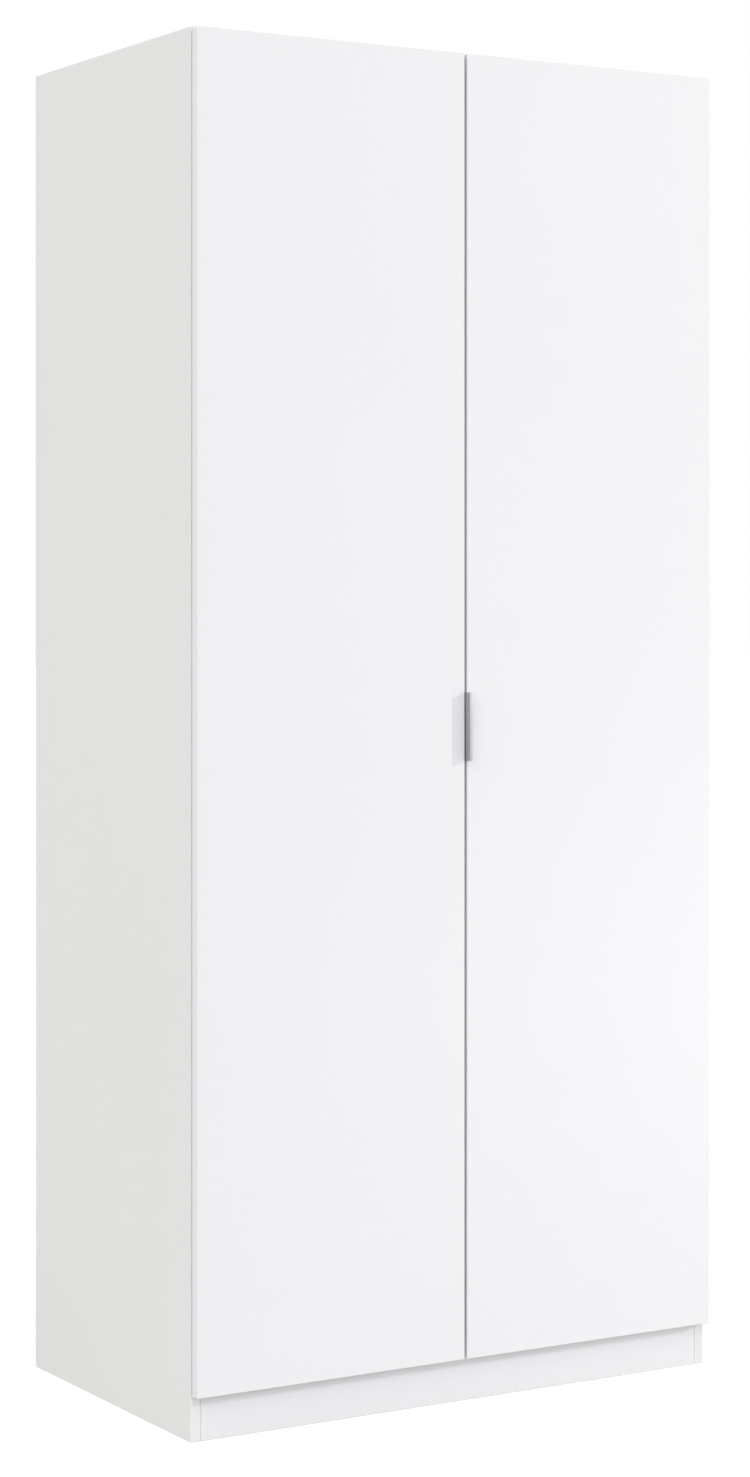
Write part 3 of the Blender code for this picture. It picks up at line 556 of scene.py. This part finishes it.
def bent_cup():
    """The pressed cup with its rolled rim, two screw ears and the cheeks that hold the pin."""
    bowl = turned([
        (0, CUP_INNER_FLOOR),
        (CUP_INNER_RADIUS - 1.2 * MM, CUP_INNER_FLOOR),
        (CUP_INNER_RADIUS - 0.35 * MM, CUP_INNER_FLOOR + 0.35 * MM),
        (CUP_INNER_RADIUS, CUP_INNER_FLOOR + 1.2 * MM),
        (CUP_INNER_RADIUS, RIM_HIGH - 0.35 * MM),
        (CUP_INNER_RADIUS + 0.12 * MM, RIM_HIGH - 0.12 * MM),
        (CUP_INNER_RADIUS + 0.35 * MM, RIM_HIGH),
        (CUP_RIM_RADIUS - 0.3 * MM, RIM_HIGH),
        (CUP_RIM_RADIUS - 0.08 * MM, RIM_HIGH - 0.08 * MM),
        (CUP_RIM_RADIUS, RIM_HIGH - 0.3 * MM),
        (CUP_RIM_RADIUS, RIM_LOW),
        (CUP_RADIUS, RIM_LOW),
        (CUP_RADIUS, CUP_FLOOR + 0.8 * MM),
        (CUP_RADIUS - 0.25 * MM, CUP_FLOOR + 0.25 * MM),
        (CUP_RADIUS - 0.8 * MM, CUP_FLOOR),
        (0, CUP_FLOOR),
    ], 64)
    shapes = [(bowl, at(CUP_CENTRE, 0, 0) @ TO_BACK)]
    hug = CUP_RIM_RADIUS - 0.4 * MM
    start, end = (math.degrees(math.acos(x / hug)) for x in (EAR_NEAR, EAR_FAR))
    ear = arc((0, 0), hug, start, end, 8)
    ear += arc((EAR_FAR - EAR_CORNER, EAR_TIP - EAR_CORNER), EAR_CORNER, 0, 90, 6)
    ear += arc((EAR_NEAR + EAR_CORNER, EAR_TIP - EAR_CORNER), EAR_CORNER, 90, 180, 6)
    ear_thickness = RIM_HIGH - RIM_LOW - 0.05 * MM
    for sign in (1, -1):
        plate = slab([[(x, y * sign) for x, y in ear]], ear_thickness, 0.2 * MM)
        shapes.append((plate, at(CUP_CENTRE, RIM_LOW + ear_thickness / 2, 0) @ TO_FRONT))
        z = sorted((sign * CHEEK_Z[0], sign * CHEEK_Z[1]))
        cheek = block((CHEEK_X[0], CHEEK_Y[0], z[0]), (CHEEK_X[1], CHEEK_Y[1], z[1]), 0.5 * MM)
        shapes.append((cheek, UNTURNED))
    return shapes


def bent_link():
    """The arm's front: an eye round the pin, a bend inside the cup, and a leg that flares."""
    bend, inner_bend = 1.0 * MM, 0.6 * MM
    meet = math.degrees(math.asin(LINK_TOP / EYE_RADIUS))
    outline = arc((0, 0), EYE_RADIUS, meet, 270, 28)
    outline += arc((LINK_FAR - bend, bend - EYE_RADIUS), bend, 270, 360, 6)
    outline += [
        (LINK_FAR, FLARE_START), (LINK_FAR + 0.5 * FLARE_RISE, FLARE_MIDDLE),
        (LINK_FAR + FLARE_RISE, BODY_FRONT), (ARM_LOW + 0.3 * MM, BODY_FRONT),
        (ARM_LOW, BODY_FRONT - FLARE_RISE),
    ]
    outline += arc((ARM_LOW - inner_bend, LINK_TOP + inner_bend), inner_bend, 360, 270, 5)
    bore = ring((0, 0), EYE_BORE, 24)
    return slab([outline, bore], 2 * LINK_HALF_WIDTH, 0.2 * MM)


def pressed_arm():
    """The arm's body over its plate, with a tray for the two adjusting screws."""
    low = (ARM_LOW, ARM_FRONT, -ARM_HALF_WIDTH)
    bm = block(low, (ARM_HIGH, ARM_REAR, ARM_HALF_WIDTH))
    front = [v for v in bm.verts if v.co.y < ARM_FRONT + MM and v.co.x > ARM_HIGH - MM]
    bmesh.ops.translate(bm, verts=front, vec=(-1.0 * MM, 1.5 * MM, 0))
    round_arrises(bm, 1.6 * MM, 4)
    top = max(bm.faces, key=lambda face: (face.normal.x > 0.8) * face.calc_area())
    bmesh.ops.inset_region(bm, faces=[top], thickness=TRAY_RIM, use_even_offset=True)
    bmesh.ops.inset_region(
        bm, faces=[top], thickness=TRAY_SLOPE, depth=-TRAY_DEPTH, use_even_offset=True,
    )
    return bm


def cross_plate():
    """The mounting plate: two screw wings with rounded ends and a raised bed for the arm."""
    y0, y1, y2, y3 = BED_Y[0], WING_Y[0], WING_Y[1], BED_Y[1]
    half, reach = BED_HALF_WIDTH, WING_REACH
    corners = [
        (y0, -half), (y1, -half), (y1, -reach), (y2, -reach), (y2, -half), (y3, -half),
        (y3, half), (y2, half), (y2, reach), (y1, reach), (y1, half), (y0, half),
    ]
    inner, outer = 1.5 * MM, 5.0 * MM
    radii = [2.0 * MM, inner, outer, outer, inner, 2.0 * MM] * 2
    plate = slab([rounded(corners, radii, 6)], WING_TOP - PLATE_FOOT, 0.6 * MM, 3)
    bed = block((PLATE_FOOT + 0.1 * MM, y0 + 0.7 * MM, -half + 0.7 * MM),
                (BED_TOP, y3 - 0.7 * MM, half - 0.7 * MM), 0.4 * MM)
    return [(plate, at((WING_TOP + PLATE_FOOT) / 2, 0, 0) @ ACROSS), (bed, UNTURNED)]


def make_hinges():
    for side in SIDES:
        turn = UNTURNED if side == "left" else HALF_TURN
        door = side + "_door"
        for number in HINGE_NUMBERS:
            label = "%s_hinge_%%s_%d" % (side, number)
            home = Matrix.Translation(middle(label % "pin")) @ turn

            def fit(kind, shapes, material, body, replaced=()):
                placed = [(shape, home @ placing) for shape, placing in shapes]
                piece("%s_%s_%d" % (side, kind, number), placed, material, body, replaced)

            fit("pressed_cup", bent_cup(), nickel_plate, door, [label % "cup"])
            pin = turned([
                (0, PIN_HALF_LENGTH), (PIN_RADIUS * 0.8, PIN_HALF_LENGTH),
                (PIN_RADIUS, PIN_HALF_LENGTH - 0.2 * MM), (PIN_RADIUS, 0.2 * MM - PIN_HALF_LENGTH),
                (PIN_RADIUS * 0.8, -PIN_HALF_LENGTH), (0, -PIN_HALF_LENGTH),
            ], 24)
            fit("turned_pin", [(pin, UNTURNED)], hardened_steel, door, [label % "pin"])
            arm = [(bent_link(), UNTURNED), (pressed_arm(), UNTURNED)]
            fit("pressed_arm", arm, nickel_plate, "carcass", [label % "arm"])
            fit("cross_plate", cross_plate(), nickel_plate, "carcass", [label % "plate"])
            ear_screws = []
            side_screws = []
            for sign in (-1, 1):
                ear_seat = at(EAR_SCREW_X, RIM_HIGH - SCREW_SINK, sign * EAR_SCREW_Z)
                ear_screws.append((screw_head(*BOARD_SCREW_HEAD), ear_seat @ TO_BACK))
                wing_seat = at(WING_TOP - SCREW_SINK, sum(WING_Y) / 2, sign * PLATE_SCREW_Z)
                side_screws.append((screw_head(*BOARD_SCREW_HEAD), wing_seat @ TO_RIGHT))
            fit("cup_screws", ear_screws, zinc_plate, door)
            fit("plate_screws", side_screws, zinc_plate, "carcass")
            adjusters = [
                (screw_head(*SIDE_ADJUSTER_HEAD), at(TRAY_FLOOR, SIDE_ADJUSTER_Y, 0) @ TO_RIGHT),
                (screw_head(*DEPTH_ADJUSTER_HEAD), at(TRAY_FLOOR, DEPTH_ADJUSTER_Y, 0) @ TO_RIGHT),
            ]
            fit("adjusting_screws", adjusters, hardened_steel, "carcass")


# ---- edge pull ----

PULL_FIN = 3.1 * MM
PULL_LIP_WIDTH = 4.5 * MM
PULL_LIP_THICKNESS = 2.0 * MM


def make_edge_pull():
    """An extruded angle: a leg behind the door, a fin through the meeting gap and a front lip."""
    low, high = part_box("edge_pull")
    left, right, front, rear = low.x, high.x, low.y, high.y
    fin_face, leg_face = left + PULL_FIN, rear - PULL_FIN
    lip_end, lip_face = left + PULL_LIP_WIDTH, front + PULL_LIP_THICKNESS
    corners = [
        (right, rear), (left, rear), (left, front), (lip_end, front),
        (lip_end, lip_face), (fin_face, lip_face), (fin_face, leg_face), (right, leg_face),
    ]
    radii = [0.5 * MM, 0.9 * MM, 0.3 * MM, 0.3 * MM, 0.3 * MM, 0.5 * MM, 0.3 * MM, 0.5 * MM]
    length = high.z - low.z
    section = slab([rounded(corners, radii, 5)], length, 0.3 * MM, 2)
    upright = at(0, 0, (high.z + low.z) / 2)
    piece("extruded_pull", [(section, upright)], aluminium, "right_door", ["edge_pull"])
    for place_name in ("upper", "lower"):
        node = "edge_pull_screw_" + place_name
        screw_low, screw_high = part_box(node)
        centre = (screw_low + screw_high) / 2
        shank = turned([
            (0, 0), (PULL_SCREW_SHANK, 0), (PULL_SCREW_SHANK, -9.0 * MM),
            (0.3 * MM, -11.4 * MM), (0, -11.5 * MM),
        ], 16)
        seat = at(centre.x, screw_high.y - PULL_SCREW_HEAD_HEIGHT, centre.z) @ TO_BACK
        head = screw_head((screw_high.x - screw_low.x) / 2, PULL_SCREW_HEAD_HEIGHT)
        shapes = [(head, seat), (shank, seat)]
        piece("pull_screw_" + place_name, shapes, zinc_plate, "right_door", [node])


# ---- inside fittings ----

RAIL_WALL = 1.2 * MM
RAIL_PLAY = 0.3 * MM
SOCKET_PLATE = 2.0 * MM
SOCKET_DEPTH = 13.0 * MM
SOCKET_WALL = 2.0 * MM
SOCKET_SCREW_Z = 19.6 * MM


def rail_cradle(width, height):
    """The U that holds the rail, open at the top, with rounded ends."""
    inner = width / 2 + RAIL_PLAY
    outer = inner + SOCKET_WALL
    dip = (height - width) / 2
    tip_x, tip_z = (outer + inner) / 2, height / 2 - 1.0 * MM
    outline = arc((0, -dip), outer, 180, 360, 20)
    outline += arc((tip_x, tip_z), SOCKET_WALL / 2, 0, 180, 6)
    outline += arc((0, -dip), inner, 360, 180, 20)
    outline += arc((-tip_x, tip_z), SOCKET_WALL / 2, 0, 180, 6)
    return outline


def make_rail():
    low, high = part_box("hanging_rail")
    width, height = high.y - low.y, high.z - low.z
    bore = stadium(width - 2 * RAIL_WALL, height - 2 * RAIL_WALL, 20)
    tube = slab([stadium(width, height, 20), bore], high.x - low.x, 0.25 * MM)
    home = Matrix.Translation(middle("hanging_rail")) @ ACROSS
    piece("oval_rail", [(tube, home)], drawn_steel, "carcass", ["hanging_rail"])
    for side in SIDES:
        node = "rail_bracket_" + side
        b_low, b_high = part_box(node)
        wall_x = b_low.x if side == "left" else b_high.x
        centre = (b_low + b_high) / 2
        turn = ACROSS if side == "left" else Matrix.Rotation(math.pi, 4, "Z") @ ACROSS
        home = at(wall_x, centre.y, centre.z) @ turn
        rose = slab([stadium(b_high.y - b_low.y, b_high.z - b_low.z, 20)], SOCKET_PLATE, 0.5 * MM, 3)
        cradle = slab([rail_cradle(width, height)], SOCKET_DEPTH, 0.3 * MM)
        placed = [
            (rose, home @ at(0, 0, SOCKET_PLATE / 2)),
            (cradle, home @ at(0, 0, SOCKET_PLATE / 2 + SOCKET_DEPTH / 2 - 0.5 * MM)),
        ]
        piece("cast_rail_socket_" + side, placed, nickel_plate, "carcass", [node])
        heads = []
        for sign in (-1, 1):
            seat = home @ at(0, sign * SOCKET_SCREW_Z, SOCKET_PLATE - 0.05 * MM)
            heads.append((screw_head(*SOCKET_SCREW_HEAD), seat))
        piece("rail_socket_screws_" + side, heads, zinc_plate, "carcass")


SHELF_PIN_RADIUS = 2.5 * MM
SHELF_PIN_HEAD = 6.7 * MM


def make_shelf_pins():
    for side in SIDES:
        for column in ("front", "rear"):
            node = "shelf_pin_%s_%s" % (side, column)
            low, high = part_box(node)
            centre = (low + high) / 2
            tip, head_radius = high.x - low.x, (high.z - low.z) / 2
            neck = tip - SHELF_PIN_HEAD
            pin = turned([
                (0, 0), (SHELF_PIN_RADIUS - 0.5 * MM, 0), (SHELF_PIN_RADIUS, 0.5 * MM),
                (SHELF_PIN_RADIUS, neck), (head_radius - 0.3 * MM, neck),
                (head_radius, neck + 0.3 * MM), (head_radius, tip - 1.0 * MM),
                (head_radius - 0.3 * MM, tip - 0.3 * MM), (head_radius - 1.0 * MM, tip), (0, tip),
            ], 32)
            home = at(low.x, centre.y, centre.z) @ TO_RIGHT
            if side == "right":
                home = at(high.x, centre.y, centre.z) @ TO_LEFT
            piece("turned_" + node, [(pin, home)], nickel_plate, "carcass", [node])


def make_bumpers():
    for side in SIDES:
        for place_name in ("upper", "lower"):
            node = "%s_door_bumper_%s" % (side, place_name)
            low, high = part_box(node)
            radius, thick = (high.x - low.x) / 2, high.y - low.y
            disc = turned([
                (0, 0), (radius, 0), (radius, 0.45 * thick), (radius * 0.96, 0.68 * thick),
                (radius * 0.82, 0.88 * thick), (radius * 0.5, thick), (0, thick),
            ], 36)
            centre = (low + high) / 2
            home = at(centre.x, low.y, centre.z) @ TO_BACK
            name = "domed_bumper_%s_%s" % (side, place_name)
            piece(name, [(disc, home)], soft_rubber, side + "_door", [node])


BRACKET_HOLE_FROM_REAR = 21.0 * MM
BRACKET_LEG = 2.05 * MM
CAP_FROM_SIDE = 34.0 * MM
CAP_FROM_FRONT = 60.0 * MM
CAP_FROM_REAR = 70.0 * MM
CAP_PROFILE = [
    (0, -0.5 * MM), (9.0 * MM, -0.5 * MM), (9.0 * MM, 0.35 * MM),
    (8.7 * MM, 0.65 * MM), (7.5 * MM, 0.8 * MM), (0, 0.9 * MM),
]


def make_fixings():
    """Screws in the wall brackets, and the caps over the fittings in the top board."""
    top_low, top_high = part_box("top_panel")
    heads, caps = [], []
    for side, direction in SIDES.items():
        low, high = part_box("wall_bracket_" + side)
        centre = (low + high) / 2
        hole = at(centre.x, high.y - BRACKET_HOLE_FROM_REAR, high.z - BRACKET_LEG)
        heads.append((screw_head(*BRACKET_SCREW_HEAD), hole @ Matrix.Rotation(math.pi, 4, "X")))
        inner_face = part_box(side + "_side_panel")[1 if side == "left" else 0].x
        x = inner_face - direction * CAP_FROM_SIDE
        for y in (top_low.y + CAP_FROM_FRONT, top_high.y - CAP_FROM_REAR):
            caps.append((turned(CAP_PROFILE, 48), at(x, y, top_high.z)))
    piece("wall_bracket_screws", heads, zinc_plate, "carcass")
    piece("top_board_caps", caps, white_plastic, "carcass")


# ---- floor, light and camera ----

CAMERA_PLACE = (-2.54602, -4.21988, 1.20763)
CAMERA_HEADING = -31.1032
LENS = 77.516
SENSOR_WIDTH = 36.0
LENS_SHIFT = -0.10213
KEY_TOWARD = Vector((0.849, -0.433, 0.290)).normalized()
KEY_DISTANCE = 18.0
KEY_SIZE = 0.72
KEY_POWER = 990.0
ROOM_LIGHT = 0.60
SOFTBOX_LIGHT = 1.68
SOFTBOX_TOWARD = Vector((-0.62, -0.50, 0.50)).normalized()
FLOOR_REACH = 40.0
SEEN_FLOOR_ALBEDO = 0.9
SEEN_FLOOR_GLOW = 0.3
LIT_FLOOR_ALBEDO = 0.5
BOUNCE_PLACE = Vector((1.9, -1.7, 0.08))
BOUNCE_TARGET = Vector((0.4, -0.26, 0.2))
BOUNCE_SIZE = 1.2
BOUNCE_POWER = 9.5


def add_light(name, place, target, size, power):
    light = bpy.data.lights.new(name, "AREA")
    light.shape = "DISK"
    light.size = size
    light.energy = power
    lamp = bpy.data.objects.new(name, light)
    bpy.context.scene.collection.objects.link(lamp)
    lamp.location = place
    lamp.rotation_euler = (place - target).to_track_quat("Z", "Y").to_euler()


def make_floor(name, height, albedo, glow):
    bm = bmesh.new()
    bmesh.ops.create_grid(bm, x_segments=1, y_segments=1, size=FLOOR_REACH)
    bmesh.ops.translate(bm, verts=bm.verts, vec=(0, 0, height))
    mesh = bpy.data.meshes.new(name)
    bm.to_mesh(mesh)
    floor = bpy.data.objects.new(name, mesh)
    bpy.context.scene.collection.objects.link(floor)
    finish = Finish(name, Emission_Strength=glow, Roughness=0.9)
    finish.shader.inputs["Emission Color"].default_value = (1, 1, 1, 1)
    finish.shader.inputs["Base Color"].default_value = (albedo, albedo, albedo, 1)
    mesh.materials.append(finish.material)
    return floor


def make_stage():
    """A pale floor and a soft room: brightest up front on the left, white where the camera looks."""
    seen_floor = make_floor("studio_floor", 0.0, SEEN_FLOOR_ALBEDO, SEEN_FLOOR_GLOW)
    seen_floor.visible_diffuse = seen_floor.visible_glossy = False
    seen_floor.visible_transmission = seen_floor.visible_shadow = False
    lit_floor = make_floor("floor_bounce", -0.5 * MM, LIT_FLOOR_ALBEDO, 0.0)
    lit_floor.visible_camera = False

    world = bpy.data.worlds.new("studio")
    room = NodeTree(world)
    toward = room.node("TexCoord", {}, {}, "Generated")
    values = {0: toward, 1: SOFTBOX_TOWARD}
    facing = room.node("VectorMath", {"operation": "DOT_PRODUCT"}, values, "Value")
    softbox = facing.most(0.0)
    seen = room.node("LightPath", {}, {}, "Is Camera Ray")
    strength = (1.0 - seen) * (softbox * softbox * SOFTBOX_LIGHT + ROOM_LIGHT) + seen
    background = room.tree.nodes["Background"]
    background.inputs["Color"].default_value = (1, 1, 1, 1)
    room.tree.links.new(strength.socket, background.inputs["Strength"])
    bpy.context.scene.world = world

    key_target = middle("edge_pull")
    add_light("soft_key", key_target + KEY_TOWARD * KEY_DISTANCE, key_target, KEY_SIZE, KEY_POWER)
    add_light("low_bounce", BOUNCE_PLACE, BOUNCE_TARGET, BOUNCE_SIZE, BOUNCE_POWER)
    bpy.context.scene.view_settings.view_transform = "Standard"


def make_camera():
    data = bpy.data.cameras.new("front_left_view")
    data.lens = LENS
    data.sensor_width = SENSOR_WIDTH
    data.shift_y = LENS_SHIFT
    camera = bpy.data.objects.new("front_left_view", data)
    bpy.context.scene.collection.objects.link(camera)
    camera.location = CAMERA_PLACE
    camera.rotation_euler = (math.pi / 2, 0, math.radians(CAMERA_HEADING))
    bpy.context.scene.camera = camera


finish_boards()
make_hinges()
make_edge_pull()
make_rail()
make_shelf_pins()
make_bumpers()
make_fixings()
make_stage()
make_camera()
